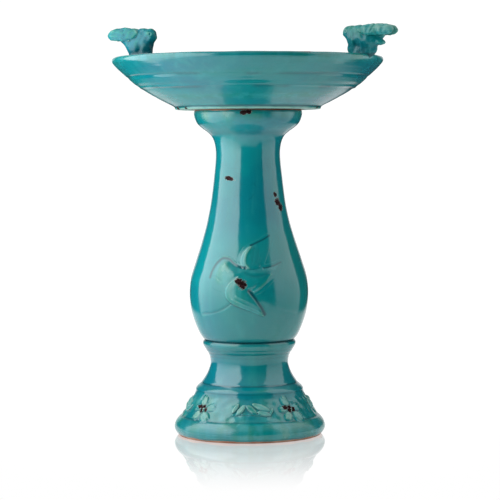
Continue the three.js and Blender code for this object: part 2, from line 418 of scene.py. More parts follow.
def glaze(name, chips=(), gloss=0.11, shine=0.5):
    """Glossy teal glaze on clay: dark where pooled, pale where thin, chipped to burnt clay.
    On some pieces the pooled and thin marks also carry painted shade and painted highlights.

    A chip is (its centre, radius, stretch, turn). `gloss` is the roughness.
    """
    n = Material(name)
    cloud = n.noise(8, 3, 0.5, warp=0.5)
    runs = n.noise(1, 3, 0.5, n.scaled((55, 55, 5)), 0.3)
    drift = n.noise(5, 3, 0.5, n.scaled((1, 1, 1), (3, 1, 2)))
    mottle = n.noise(150, 3, 0.6)
    colour = n.mix(n.between(cloud, 0.35, 0.7), DEEP, MIDDLE)
    colour = n.mix(n.between(runs, 0.5, 0.8, 0, 0.5), colour, SHALLOW)
    colour = n.mix(n.between(drift, 0.45, 0.7, 0, 0.5), colour, GREEN)
    colour = n.mix(n.between(mottle, 0.56, 0.75, 0, 0.10), colour, SHALLOW)

    uneven = n.between(n.noise(70, 3, 0.55), 0.3, 0.65, 0.7, 1.0)
    thin = n.math("MULTIPLY", n.noted("thin"), uneven)
    streaks = n.mix(n.between(runs, 0.4, 0.6), GREEN, SHALLOW)
    colour = n.mix(n.between(thin, 0.0, 0.5), colour, streaks)
    colour = n.mix(n.between(thin, 0.3, 1.0, 0, 0.9), colour, BREAKING)
    colour = n.mix(n.between(n.noted("pooled"), 0.0, 1.0, 0, 0.88), colour, POOL)

    craze = n.between(n.cracks(95, n.scaled((1, 1, 0.8))), 0.0, 0.02, 1, 0)
    crazed = n.between(n.noise(14, 2), 0.45, 0.65, 0.03, 0.22)
    colour = n.mix(n.math("MULTIPLY", craze, crazed), colour, POOL)

    clay, grain = clay_parts(n)
    ragged = n.math("SUBTRACT", n.noise(260, 5, 0.65), 0.5)
    bare = n.math("ADD", n.noted("bare"), n.math("MULTIPLY", ragged, 0.5))
    bare = n.between(bare, 0.46, 0.54)
    colour = n.mix(bare, colour, clay)
    rough = n.mix(bare, (gloss,) * 3, (CLAY_ROUGH,) * 3)
    normal = n.bump(n.noise(60, 2, 0.4), 0.0009, 0.16)
    rough_clay = n.math("MULTIPLY", n.math("MULTIPLY", grain, bare), 0.5)
    normal = n.bump(rough_clay, 0.0006, 1.0, normal)
    if chips:
        field = chip_field(n, chips, ragged)
        chip = n.between(field, *CORE)
        colour = n.mix(n.math("MULTIPLY", n.between(field, *HALO), 0.45), colour, SCUFF)
        colour = n.mix(n.math("MULTIPLY", n.between(field, *EDGE), 0.8), colour, RUST)
        speckle = n.between(n.noise(380, 3, 0.6), 0.4, 0.62)
        colour = n.mix(chip, colour, n.mix(speckle, CHAR, CHAR_PALE))
        rough = n.mix(chip, rough, (CHIP_ROUGH,) * 3)
        normal = n.bump(n.math("MULTIPLY", chip, -1.0), 0.0009, 0.8, normal)
        n.put(n.shader.inputs["Metallic"], chip)  # keeps the burnt clay from shining pale
    wear = n.between(n.noise(40, 4, 0.6), 0.4, 0.8, 0.0, 0.06)
    dry = n.math("MULTIPLY", thin, 0.3)
    n.put(n.shader.inputs["Base Color"], colour)
    n.put(n.shader.inputs["Roughness"], n.math("ADD", n.math("ADD", rough, wear), dry))
    n.put(n.shader.inputs["Normal"], normal)
    n.shader.inputs["IOR"].default_value = GLAZE_IOR
    n.shader.inputs["Specular IOR Level"].default_value = shine
    return n.material


def bare_clay():
    n = Material("bare_clay")
    colour, grain = clay_parts(n)
    n.put(n.shader.inputs["Base Color"], colour)
    n.shader.inputs["Roughness"].default_value = 0.88
    n.put(n.shader.inputs["Normal"], n.bump(grain, 0.0006, 0.7))
    return n.material


# ---- the pedestal's surface ----

base_low, base_high = span("pedestal_base")
column_low, column_high = span("pedestal_column")
basin_low, basin_high = span("basin")

base_outside = smooth(fitted(BASE_OUTSIDE, 112.8, base_low[2], base_high[2]))
column_outside = smooth(fitted(COLUMN_OUTSIDE, 88.9, column_low[2], column_high[2]), 1.5)


def on_run(run, along):
    """The radius, the height and the outward direction of the run at places along it."""
    s = lengths(run)
    tangent = np.gradient(run, s, axis=0)
    tangent /= np.linalg.norm(tangent, axis=1)[:, None]
    r, z, tr, tz = (np.interp(along, s, v) for v in (*run.T, *tangent.T))
    return r, z, tz, -tr


def place_at(run, height):
    """How far along the run a height is."""
    return np.interp(height, run[:, 1], lengths(run))


def line(value, middle, width):
    """1 at `middle`, falling smoothly to 0 about 2 `width` away."""
    return np.exp(-(((value - middle) / width) ** 2))


def wander(points):
    """How far a thrown and moulded surface strays from the true outline."""
    return 0.2 * waves(points, 75, 1) + 0.03 * waves(points, 24, 2)


# Heights of the grooves turned into the base, with their width and depth.
BASE_GROOVES = [
    (67.6, 1.1, 0.35), (78.6, 1.3, 0.5), (118.5, 1.2, 0.22), (123.8, 1.3, 0.3), (129.3, 1.2, 0.25),
    (29.3, 1.5, 0.4),
]


def base_skin(points):
    z = points[:, 2]
    cut = sum(depth * line(z, middle, width) for middle, width, depth in BASE_GROOVES)
    cut = cut * (1 + 0.35 * waves(points * [1, 1, 0], 60, 7))
    uneven = 0.34 * step_up(z, 27, 34) * (1 - step_up(z, 56, 65)) * waves(points, 15, 19)
    return wander(points) - cut + uneven


# A twig drawn in the wet clay to the left of the dove, as (x, z).
TWIG = [(-68, 186), (-55, 188), (-43, 192), (-33, 198), (-25, 203.5)]


def column_skin(points):
    x, _, z = points.T
    front = points[:, 1] < 0
    twig = np.zeros(len(points))
    close = front & (z > 178) & (z < 212) & (x < -18) & (x > -78)
    twig[close] = stroke(x[close], z[close], TWIG, 1.3)
    return wander(points) - 0.75 * twig


# ---- relief: heights over a flat patch, laid on the pedestal ----

BURIED = -0.9  # how deep a sprig's hidden edge goes


def crisp(distance, height, edge):
    """The height at `distance` inside an outline: a rounded edge, and sinking outside it."""
    inside = height * np.sqrt(np.clip(1 - (1 - np.clip(distance / edge, 0, 1)) ** 2, 0, 1))
    return np.where(distance > 0, inside, np.maximum(distance * 0.9, BURIED))


def soft(distance, height, edge):
    """The same with a slow start, so that the edge melts into the ground."""
    return np.where(distance > -1.5, height * step_up(distance, -1.5, edge), BURIED)


def polyline_distance(x, y, run):
    best = np.full(x.shape, 1e9)
    for (ax, ay), (bx, by) in zip(run[:-1], run[1:]):
        dx, dy = bx - ax, by - ay
        t = np.clip(((x - ax) * dx + (y - ay) * dy) / (dx * dx + dy * dy + 1e-9), 0, 1)
        best = np.minimum(best, np.hypot(x - ax - t * dx, y - ay - t * dy))
    return best


def stroke(x, y, points, width):
    """1 along a line through the points, thinning out at its ends."""
    return np.exp(-((polyline_distance(x, y, smooth(points, 2.5)) / width) ** 2))


def closed_smooth(stations, step=1.8):
    """The second of two smooth laps through the stations, which ends where it begins."""
    p = np.array(stations, float)
    run = smooth(np.vstack([p, p, p[:1]]), step)
    starts = np.flatnonzero(np.hypot(*(run - p[0]).T) < 1e-6)
    return run[starts[1] : starts[2]]


def inside_distance(x, y, outline):
    """The distance from the outline, positive inside it."""
    best = polyline_distance(x, y, np.vstack([outline, outline[:1]]))
    odd = np.zeros(x.shape, bool)
    for (ax, ay), (bx, by) in zip(outline, np.roll(outline, -1, 0)):
        odd ^= ((ay > y) != (by > y)) & (x < (bx - ax) * (y - ay) / (by - ay + 1e-12) + ax)
    return np.where(odd, best, -best)


def softly_highest(heights, blend=0.5):
    top = np.maximum.reduce(heights)
    total = sum(np.exp((h - top) / blend) for h in heights)
    return top + blend * np.log(total) - blend * 0.25 * np.log(len(heights))


# The dove, as closed outlines seen from the front, (x, z), with a rise, a height and an edge.
DOVE = {
    "body": (soft, 2.3, 9, [
        (-22, 250), (-12, 256), (4, 255), (20, 254), (32, 252), (36, 244), (26, 234), (12, 224),
        (-2, 218), (-16, 224), (-24, 236)]),
    "tail": (soft, 1.5, 8, [
        (10, 253), (24, 255), (36, 257.5), (47, 261), (44, 249), (36, 241), (27, 232), (19, 225),
        (8, 220)]),
    "raised_wing": (crisp, 2.4, 6, [
        (-8, 252), (-12, 262), (-10.5, 272), (-5, 280.5), (4, 287), (16, 292), (29, 300),
        (27, 286), (22, 270), (14, 254)]),
    "head": (soft, 3.6, 13, [
        (-56, 238), (-53.5, 247), (-49.5, 255), (-44, 262.5), (-36.5, 267.5), (-29, 266),
        (-22, 260), (-14, 254.5), (-8, 247), (-12, 236), (-24, 228), (-38, 224), (-50, 228)]),
    "lowered_wing": (crisp, 3.8, 9, [
        (-14, 243), (-24, 237), (-31, 230), (-35, 221), (-33.5, 211), (-27, 203.5), (-14, 197),
        (2, 191), (22, 183.5), (17.5, 197), (9, 209), (1, 219), (-4, 231)]),
}
# Raised lines, each with its width and height, and how thin the glaze lies on it.
DOVE_RIDGES = [
    ([(-9, 256), (-12, 264), (-10, 273), (-4, 281), (3, 286)], 2.2, 0.35, 0.4),
    ([(2, 283), (-3, 276), (-5.5, 268), (-5, 260), (-1, 254)], 2.9, 0.8, 0.6),
    ([(32, 244), (28, 239), (22, 232), (15, 226), (7, 221)], 2.2, 0.5, 0.4),
    ([(-16, 240), (-25, 235), (-32, 228), (-34, 219), (-32, 211), (-26, 205)], 2.8, 0.3, 0.3),
    ([(-26, 204), (-12, 198), (4, 191.5), (21, 185)], 1.8, 0.3, 0.25),
    ([(-24, 209), (-10, 203), (5, 196), (18, 189)], 1.6, 0.3, 0.3),
    ([(-18, 213.5), (-4, 207.5), (8, 201), (17, 194)], 1.6, 0.25, 0.2),
    # This line just above the head's groove is raised, and its pale glaze is also a painted
    # highlight.
    ([(-50, 259), (-43, 267), (-35, 271), (-27, 269.5), (-19, 263.5), (-12, 259)], 1.6, 0.35, 0.25),
]
# Cut lines, each with its width and depth, and how much glaze has pooled in it.
DOVE_GROOVES = [
    ([(-57, 240), (-54.5, 248), (-50.5, 256), (-44.5, 263.5), (-36.5, 268.6), (-28.5, 267),
      (-21.5, 261), (-13.5, 256), (-5, 254.5)], 1.8, 0.95, 0.85),
    ([(3, 287.5), (10, 290.5), (18, 294), (24, 297), (30, 301)], 1.5, 0.8, 0.9),
    ([(22, 254.5), (31, 256), (39, 258.5), (47, 262)], 1.5, 0.7, 0.6),
    ([(0, 221), (5, 216), (10, 209), (14, 203), (18.5, 196), (23, 187)], 2.4, 0.7, 1.0),
    ([(8, 286), (7, 274), (5, 262)], 1.5, 0.2, 0.12),
    ([(15, 289), (14, 276), (11, 262)], 1.5, 0.2, 0.12),
    ([(21, 291), (19.5, 280), (16, 266)], 1.5, 0.2, 0.12),
    ([(-54, 243), (-47, 241), (-41, 236)], 1.6, 0.25, 0.15),
    ([(-5, 247), (4, 243), (16, 243), (28, 246)], 3.0, 0.3, 0.35),
]


def dove_relief(x, z):
    """The height of the dove, how far its glaze has pooled, and how thin it is, with a painted
    highlight on the left of its head and of its lowered wing.
    """
    within = {name: inside_distance(x, z, closed_smooth(dove[3])) for name, dove in DOVE.items()}
    fades = {
        "raised_wing": 1 - 0.97 * step_up(x + 0.35 * (z - 255), 4, 28),
        "head": step_up(z + 0.3 * x, 212, 246),
        "lowered_wing": 1 - 0.45 * step_up(x - 0.4 * (z - 210), -16, 26),
    }
    heights = []
    for name, (rise, height, edge, _) in DOVE.items():
        h = rise(within[name], height, edge)
        heights.append(np.where(h > 0, h * fades.get(name, 1), h))
    h = softly_highest(heights)
    nearest = np.maximum.reduce(list(within.values()))
    pad = np.where(nearest > -6.5, 0.12 - 1.2 * step_up(-nearest, 4.2, 6.5), BURIED)
    h = np.maximum(h, pad)
    on = nearest > -4.4
    pooled, thin = np.zeros(x.shape), 0.42 * np.clip(h / 4, 0, 1) ** 2
    for points, width, height, pale in DOVE_RIDGES:
        mark = stroke(x, z, points, width)
        h = h + np.where(on, height * mark, 0)
        thin = np.maximum(thin, pale * mark)
    for points, width, depth, dark in DOVE_GROOVES:
        mark = stroke(x, z, points, width)
        h = np.where(on, np.maximum(h - depth * mark, np.minimum(h, 0.08)), h)
        pooled = np.maximum(pooled, dark * mark)
    # Painted highlight: the left parts of the head and of the lowered wing are made paler, as if
    # lit from the left.
    head_highlight = 0.55 * step_up(within["head"], -1, 12) * step_up(-14 - x, 0, 18)
    wing_highlight = 0.42 * step_up(within["lowered_wing"], 0.5, 6) * step_up(6 - x, 0, 26)
    return h, pooled, np.maximum.reduce([thin, head_highlight, wing_highlight]) * (1 - pooled)


def blade(u, v, centre, turn, half_width, half_length, height):
    """A leaf: a domed oval, pointed at its ends, with a groove down its middle."""
    c, s = math.cos(math.radians(turn)), math.sin(math.radians(turn))
    a = (c * (u - centre[0]) + s * (v - centre[1])) / half_length
    b = -s * (u - centre[0]) + c * (v - centre[1])
    width = half_width * np.clip(1 - a * a, 0, None) ** 0.5
    beyond = np.minimum(0, (1 - np.abs(a)) * half_length)
    distance = np.where(np.abs(a) < 1, width - np.abs(b), np.minimum(beyond, -np.abs(b)))
    dome = height * (0.75 + 0.25 * np.clip(1 - a * a, 0, 1))
    groove = 0.2 * np.exp(-((b / 0.9) ** 2)) * np.clip(1.1 - np.abs(a), 0, 1)
    return crisp(distance, dome, 0.8 * half_width) - np.where(distance > 0, groove, 0)


# Each petal is (its direction, its reach, half its width, half its length, its height).
PETALS = [
    (12, 14, 9.6, 11.5, 2.1), (110, 13.5, 11.4, 12, 2.7), (176, 12, 9.4, 10.5, 2.1),
    (238, 13, 9.8, 10.5, 3.0), (304, 15.5, 11.6, 12.5, 3.2),
]


def flower_relief(u, v):
    """Five full petals round a sunken centre with a rough boss in it."""
    petals = []
    for k, (aim, reach, half_width, half_length, height) in enumerate(PETALS):
        c, s = math.cos(math.radians(aim)), math.sin(math.radians(aim))
        out, side = (c * u + s * v - reach) / half_length, (-s * u + c * v) / half_width
        side = side / (0.84 + 0.16 * np.clip(out, -1, 1))
        distance = (1 - np.sqrt(out**2 + side**2 + 1e-6)) * half_width
        dome = height * step_up(distance, -1.2, 0.62 * half_width)
        petal = np.where(distance > 0, dome, np.maximum(distance * 0.7, BURIED))
        fan = 0.2 * np.cos(side * half_width * 1.1 + k) * step_up(out, -0.6, 0.5)
        petals.append(petal + np.where(distance > 1.5, fan, 0))
    h = softly_highest(petals, 0.35)
    from_middle = np.hypot(u, v)
    lobes = 0.6 * np.cos(np.arctan2(v, u) * 5) * line(from_middle, 3.4, 1.6)
    boss = 2.4 * np.exp(-((from_middle / 4.4) ** 4)) + lobes
    h = np.maximum(h, np.where(from_middle < 7, boss, BURIED))
    pooled = 0.35 * line(h, 0.1, 0.6) * (h > -0.5) + 0.35 * line(from_middle, 6.2, 1.6)
    return h, np.clip(pooled, 0, 1), 0.15 + 0.5 * step_up(h, 0.8, 2.6)


# Each leaf is (along the ring, up the slope, its turn, half its width, half its length).
LEAVES = [
    (-16, 4, 62, 3.4, 8.8), (-8, 1.5, 53, 4.8, 10.4), (7.5, 2.3, -40, 5.0, 10.4),
    (22, 5.2, -27, 5.4, 15), (25.5, -4.6, -15, 4.6, 10.5), (36.5, -1.8, 60, 2.6, 6.5),
]


def spray_relief(u, v):
    leaves = [
        blade(u, v, (x, y), turn, width, long, 3.4 - 0.3 * (k % 3))
        for k, (x, y, turn, width, long) in enumerate(LEAVES)
    ]
    stem = crisp(1.7 - np.abs(v + 6.0 - 1.2 * np.cos(u / 9)), 1.2, 1.6)
    leaves.append(np.where(np.abs(u - 8) < 28, stem, BURIED))
    h = softly_highest(leaves, 0.25)
    pooled = 0.25 * line(h, 0.2, 0.6) * (h > -0.5)
    return h, np.clip(pooled, 0, 1), 0.1 + 0.5 * step_up(h, 1.0, 3.0)


def sprig(name, node, run, skin, angle, place, half_u, half_v, relief, pitch):
    """A closed shell whose face is `relief` over the pedestal, and whose edge is buried in it."""
    us = np.arange(-half_u, half_u + pitch, pitch)
    vs = np.arange(-half_v, half_v + pitch, pitch)
    u, v = np.meshgrid(us, vs)
    r, z, out_r, out_z = on_run(run, place + v)
    theta = angle + u / on_run(run, place)[0]
    flat = np.stack([r * np.cos(theta), r * np.sin(theta), z], -1)
    out = np.stack([out_r * np.cos(theta), out_r * np.sin(theta), out_z], -1)
    h, pooled, thin = relief(u, v)
    # The glaze drains off upper edges and gathers under lower ones. The paler upper edges are also
    # a painted highlight, and the darker lower edges a painted shade.
    fall = np.gradient(np.maximum(h, -0.3), pitch, axis=0)
    thin = np.clip(thin + 0.45 * np.clip(-fall - 0.1, 0, 1), 0, 1)
    pooled = np.clip(pooled + 0.5 * np.clip(fall - 0.15, 0, 1), 0, 1)
    under = skin(flat.reshape(-1, 3)).reshape(u.shape)
    face = flat + out * (under + h)[..., None]
    back = flat + out * (under + BURIED - 1.2)[..., None]
    count = u.size
    index = np.arange(count).reshape(u.shape)
    corner_heights = [h[:-1, :-1], h[1:, :-1], h[:-1, 1:], h[1:, 1:]]
    faces, border = [], {}
    for i, j in np.argwhere(np.maximum.reduce(corner_heights) > BURIED + 0.02):
        corners = (index[i, j], index[i, j + 1], index[i + 1, j + 1], index[i + 1, j])
        faces += [corners, tuple(count + c for c in reversed(corners))]
        for a, b in zip(corners, corners[1:] + corners[:1]):
            if border.pop((b, a), None) is None:
                border[(a, b)] = True
    faces += [(b, a, count + a, count + b) for a, b in border]
    points = np.vstack([face.reshape(-1, 3), back.reshape(-1, 3)])
    used = np.unique(np.array([c for f in faces for c in f]))
    renumber = np.zeros(2 * count, int)
    renumber[used] = np.arange(len(used))
    faces = [tuple(int(renumber[c]) for c in f) for f in faces]
    piece = new_piece(name, points[used], faces, "pedestal", node)
    painted = [np.concatenate([field.ravel(), np.zeros(count)])[used] for field in (pooled, thin)]
    note_relief(piece, 10, 0.6, *painted)
    return piece


# ---- the pedestal ----

SPRIG_PLACE = place_at(base_outside, 45)
SPRIG_TURN = math.radians(-3)
FLOWERS = {"front_left": -135, "front_right": -47, "back_right": 45, "back_left": 135}
SPRAYS = {"front": -90, "right": 0, "back": 90, "left": 180}


def gathered(points, place):
    """How much glaze has gathered on the base against the edges of its sprigs."""
    angle = np.arctan2(points[:, 1], points[:, 0])
    pooled = np.zeros(len(points))
    radius = on_run(base_outside, SPRIG_PLACE)[0]
    v = place - SPRIG_PLACE
    for turns, relief in ((FLOWERS, flower_relief), (SPRAYS, spray_relief)):
        for turn in turns.values():
            around = (angle - math.radians(turn) - SPRIG_TURN + math.pi) % FULL_TURN - math.pi
            u = around * radius
            close = (np.abs(u) < 42) & (np.abs(v) < 32)
            under = 0.25 * step_up(relief(u[close], v[close])[0], BURIED, 0.0)
            pooled[close] = np.maximum(pooled[close], under)
    return pooled


def build_base():
    inside = smooth(fitted(BASE_INSIDE, 98, 0.6, base_high[2] - 0.7), 5)
    loop = np.vstack([base_outside, inside])
    end = lengths(base_outside)[-1] + 0.1

    def shift(points, place):
        roll = 0.35 * step_up(points[:, 2], 2.6, 4.6)  # the glaze stops short of the foot
        flat_foot = step_up(points[:, 2], 0.0, 3.0)
        rough = 0.4 * waves(points, 30, 9)
        return np.where(place <= end, base_skin(points) + roll, rough) * flat_foot

    columns = 384
    piece = turned("glazed_base", loop, columns, shift, "pedestal", "pedestal_base")
    points = vertices(piece)
    z = points[:, 2]
    place = np.repeat(lengths(loop), columns)
    outer = place <= end
    edge = 3.1 + 0.5 * waves(points * [1, 1, 0], 40, 5)  # of the glaze, above the bare foot
    pooled = np.maximum(gathered(points, place), line(z, base_high[2], 1.8))
    for middle, width, depth in BASE_GROOVES:
        pooled = np.maximum(pooled, min(1, 1.4 * depth) * line(z, middle, 1.1 * width))
    pooled = np.maximum(pooled, 0.6 * line(z, edge + 1.6, 1.2))
    thin = 0.06 * (1 - step_up(z, 24, 40)) + 0.36 * (1 - step_up(z, 54, 72))
    thin += 0.26 * line(z, 73.4, 3) + 0.14 * step_up(z, 130, 138) + 0.06 * step_up(z, 104, 120)
    thin *= 0.9 + 0.2 * waves(points, 34, 15)
    bare = np.where(outer, 1 - step_up(z - edge, -0.6, 0.6), 1)
    note_glaze(piece, pooled * outer, thin * outer, bare)
    return piece


def build_column():
    inside = smooth(fitted(COLUMN_INSIDE, 80.4, column_low[2] + 1.4, column_high[2] - 0.1), 6)
    loop = np.vstack([column_outside, inside])
    end = lengths(column_outside)[-1] + 0.1

    def shift(points, place):
        return np.where(place <= end, column_skin(points), 0.5 * waves(points, 30, 10))

    columns = 280
    piece = turned("glazed_column", loop, columns, shift, "pedestal", "pedestal_column")
    points = vertices(piece)
    x, y, z = points.T
    outer = np.repeat(lengths(loop), columns) <= end
    edge = column_high[2] - 1.2 + 0.3 * waves(points * [1, 1, 0], 25, 6)  # below the bare rim
    near_twig = (y < 0) & (x < -20)
    twig = stroke(x, z, TWIG, 1.5) * near_twig
    under = stroke(x, z, [(a, b - 3.2) for a, b in TWIG], 1.4) * near_twig
    pooled = np.maximum(line(z, column_low[2], 3), 0.45 * twig)
    # The darker band round the flare at about 452 mm is a painted dark reflection.
    pooled = np.maximum(pooled, 0.35 * line(z, 452, 5) + 0.5 * line(z, edge - 1.4, 1.0))
    thin = 0.04 * (1 - step_up(z, 160, 215)) + 0.34 * step_up(z, 466, 478) + 0.15 * under
    thin += 0.08 * waves(points * [1, 1, 0.12], 30, 16)
    bare = np.where(outer, step_up(z - edge, -0.6, 0.6), 1)
    note_glaze(piece, pooled * outer, thin * outer, bare)
    return piece


def build_dove():
    low, high = span("dove_relief")
    run = column_outside
    place = place_at(run, (low[2] + high[2]) / 2)
    radius = on_run(run, place)[0]
    angle = -math.pi / 2 + math.asin((low[0] + high[0]) / 2 / radius)

    def relief(u, v):
        r, z, _, _ = on_run(run, place + v)
        return dove_relief(r * np.cos(angle + u / radius), z)

    patch = (run, column_skin, angle, place, 70, 70, relief, 0.75)
    return sprig("dove_sprig", "dove_relief", *patch)


# ---- the basin ----

# Heights of the steps and grooves turned into the basin's outside, with their width and depth.
BASIN_STEPS = [(518.4, 1.4, 1.15), (536.4, 1.3, 0.85)]
BASIN_GROOVES = [(549.5, 2.4, 0.18), (527.4, 1.8, 0.16), (506, 2, 0.14)]


def ledge(above, depth):
    """The surface swells towards a ledge from above and is cut back under it."""
    upper = 0.5 + 0.5 * np.tanh(above / 1.1)
    return depth * (0.5 * upper * line(above, 0, 7) - 0.7 * (1 - upper) * line(above, 0, 3.2))


def ring_sway(points, k):
    """How far the basin's k-th step or groove strays up and down round the basin."""
    return 0.5 * waves(points * [1, 1, 0], 150, 40 + k)


def build_basin():
    under = resampled(np.array(BASIN_UNDER, float), 4)
    outside = smooth(BASIN_OUTSIDE)
    inside = smooth(BASIN_INSIDE, 1.8)
    loop = np.vstack([under, outside[1:], inside[1:]])
    low, high = basin_low[2], basin_high[2]
    loop[:, 0] *= 202.4 / loop[:, 0].max()
    loop[:, 1] = low + (loop[:, 1] - 487) * (high - low) / (565 - 487)
    start = lengths(under)[-1]
    rim = start + lengths(outside)[-1]

    def shift(points, place):
        z = points[:, 2]
        out = wander(points) * step_up(np.hypot(points[:, 0], points[:, 1]), 0, 60)
        for k, (middle, width, depth) in enumerate(BASIN_STEPS + BASIN_GROOVES):
            above = z - middle - ring_sway(points, k)
            depth = depth * (0.75 + 0.3 * waves(points * [1, 1, 0], 110, 50 + k))
            cut = ledge(above, depth) if k < len(BASIN_STEPS) else -depth * line(above, 0, width)
            out = out + cut
        fade = step_up(place, start + 4, start + 14) * (1 - step_up(place, rim - 16, rim - 4))
        out = out + 0.05 * ridges(place, 9, 4) * fade
        within = 0.10 * ridges(place, 14, 8) * step_up(place, rim + 5, rim + 25)
        within = np.where(place >= rim, wander(points) + within, 0)
        return np.where((place > start) & (place < rim), out, within)

    columns = 384
    piece = turned("glazed_basin", loop, columns, shift, "basin", "basin")
    points = vertices(piece)
    z = points[:, 2]
    r = np.hypot(points[:, 0], points[:, 1])
    place = np.concatenate([np.repeat(lengths(loop)[1:-1], columns), [0, lengths(loop)[-1]]])
    outer = place < rim
    # Painted shade: a dark band round the edge of the basin's foot, in its undercut.
    pooled = 0.9 * line(z, low + 4.2, 1.3) * (r < 113)
    for k, (middle, width, depth) in enumerate(BASIN_STEPS + BASIN_GROOVES):
        streak = np.clip(0.45 + 0.75 * waves(points * [1, 1, 0], 45, 60 + k), 0, 1)
        mark = line(z, middle + ring_sway(points, k) - 0.8, 1.9 * width) * streak
        pooled = np.maximum(pooled, min(0.5, 0.6 * depth) * mark)
    brush = waves(points * [0.4, 0.4, 3.5], 60, 18)
    thin = 0.06 + 0.12 * (1 - step_up(z, 508, 520)) + 0.26 * step_up(z, 550, 562) + 0.08 * brush
    # Painted reflection: the underside of the foot round its bare middle is made pale, as if it
    # mirrored the pale floor.
    thin += 1.2 * (1 - step_up(z, low + 1.0, low + 2.6)) * (r > 84)
    pooled_within = 0.30 * (1 - step_up(r, 20, 120))
    thin_within = 0.1 + 0.26 * step_up(r, 176, 194) + 0.10 * brush
    bare = (1 - step_up(r, 82, 85)) * (outer & (z < low + 0.8))
    pooled, thin = np.where(outer, (pooled, thin), (pooled_within, thin_within))
    note_glaze(piece, pooled, thin, bare)
    return piece


def build_ring():
    loop = resampled(np.array(RING_LOOP + RING_LOOP[:1], float), 1.5)[:-1]
    loop[:, 1] += span("locating_ring")[1][2] - 486.5 - 0.2

    def shift(points, place):
        return 0.25 * waves(points, 25, 14)

    return turned("locating_ring_clay", loop, 200, shift, "ring", "locating_ring")


# ---- the birds ----


def lump(centre, half, pitch=0.0, yaw=0.0, roll=0.0):
    """An ellipsoid, tilted beak-up by `pitch`: its centre, its axes and its half sizes."""
    turn = (
        Matrix.Rotation(math.radians(yaw), 3, "Z")
        @ Matrix.Rotation(math.radians(-pitch), 3, "Y")
        @ Matrix.Rotation(math.radians(roll), 3, "X")
    )
    return np.array(centre, float), np.array(turn), np.array(half, float)


def bird_lumps(rear):
    """The bird that faces +X with its foot at the origin, in millimetres, with its own rear."""
    lumps = [
        lump((-3, 0, 21), (20.5, 13.4, 11.8), 18),  # body
        lump((11.5, 0, 22), (12, 11.2, 13.5)),  # breast
        lump((5, 0, 31.2), (15, 10.4, 10.8), 2),  # shoulders
        lump((19.4, 0, 31.2), (10.4, 9.4, 10)),  # head
        lump((27.6, 0, 29.6), (3.4, 2.0, 1.9), -18),  # beak
        lump((3, 0, -5), (13, 8, 10)),  # foot, stuck to the rim
    ]
    for side in (-1, 1):
        lumps.append(lump((-24, side * 9.6, 34.2), (26, 4.4, 9.0), 1, side * 3, side * 14))
        lumps.append(lump((-40, side * 8.6, 34), (14.5, 3.8, 7.8), 6, side * 3, side * 14))
    return lumps + rear


FRONT_BIRD = bird_lumps([
    lump((-13, 0, 18), (13.5, 11.4, 10.5), -12),  # rump
    lump((-25, 0, 17), (13.6, 7.6, 5.4), 10),  # tail
    lump((-20, 0, 25.5), (17, 5.6, 7)),  # between the tail and the wings
    lump((-0.8, 0, 8), (24.2, 7.8, 16)),  # legs and the clay between them
])
BACK_BIRD = bird_lumps([
    lump((-14, 0, 21.5), (14, 11.4, 9.5), -24),  # rump
    lump((-24, 0, 27), (12.5, 8.6, 6.5), -16),  # tail
    lump((1.6, 0, 8), (21.5, 7.8, 16)),  # legs and the clay between them
])


def lump_distance(p, centre, axes, half):
    q = (p - centre) @ axes
    near, nearer = np.linalg.norm(q / half, axis=1), np.linalg.norm(q / half**2, axis=1)
    return near * (near - 1) / np.maximum(nearer, 1e-9)


def bird_distance(p, lumps, melt=1.4):
    """About the distance from the bird's skin, where its lumps melt into each other."""
    d = np.stack([lump_distance(p, *one) for one in lumps])
    low = d.min(0)
    return low - melt * np.log(np.exp(-(d - low) / melt).sum(0)) + 0.3


def bird_details(p):
    """Grooves between the feathers and the eyes, as moves along the normals."""
    x, y, z = p.T
    side = np.abs(y)
    wing = step_up(-x, 8, 18) * step_up(side, 5, 7.5) * step_up(z, 24, 27)
    feathers = -0.3 * wing * np.abs(np.sin((z - 34 + 0.10 * x) * 0.52)) ** 0.7
    coverts = -0.3 * wing * line(x + 0.5 * (z - 34), -21, 1.5)
    tail = step_up(-x, 24, 30) * step_up(8 - side, 0, 2) * (z < 24)
    tail = -0.3 * tail * np.abs(np.sin(side * 0.9)) ** 0.7
    eye = np.hypot(x - 23.2, z - 33)
    face = step_up(side, 3, 5)
    sockets = face * (-0.6 * line(eye, 0, 1.3) + 0.35 * line(eye, 2.3, 0.8))
    return feathers + coverts + tail + sockets


def rough_bird(lumps, voxel):
    """The union of the bird's lumps as one closed mesh."""
    shape = bmesh.new()
    for centre, axes, half in lumps:
        place = Matrix.Translation(centre) @ Matrix(axes.tolist()).to_4x4()
        place = place @ Matrix.Diagonal((*half, 1))
        bmesh.ops.create_uvsphere(shape, u_segments=48, v_segments=24, radius=1, matrix=place)
    mesh = bpy.data.meshes.new("rough")
    bmesh.ops.transform(shape, matrix=Matrix.Diagonal((MM, MM, MM, 1)), verts=shape.verts)
    shape.to_mesh(mesh)
    shape.free()
    rough = linked(bpy.data.objects.new("rough", mesh))
    remesh = rough.modifiers.new("remesh", "REMESH")
    remesh.mode, remesh.voxel_size = "VOXEL", voxel * MM
    rounder = rough.modifiers.new("rounder", "SMOOTH")
    rounder.factor, rounder.iterations = 0.5, 8
    shaped = rough.evaluated_get(bpy.context.evaluated_depsgraph_get())
    made = bpy.data.meshes.new_from_object(shaped)
    bpy.data.objects.remove(rough)
    bpy.data.meshes.remove(mesh)
    return made


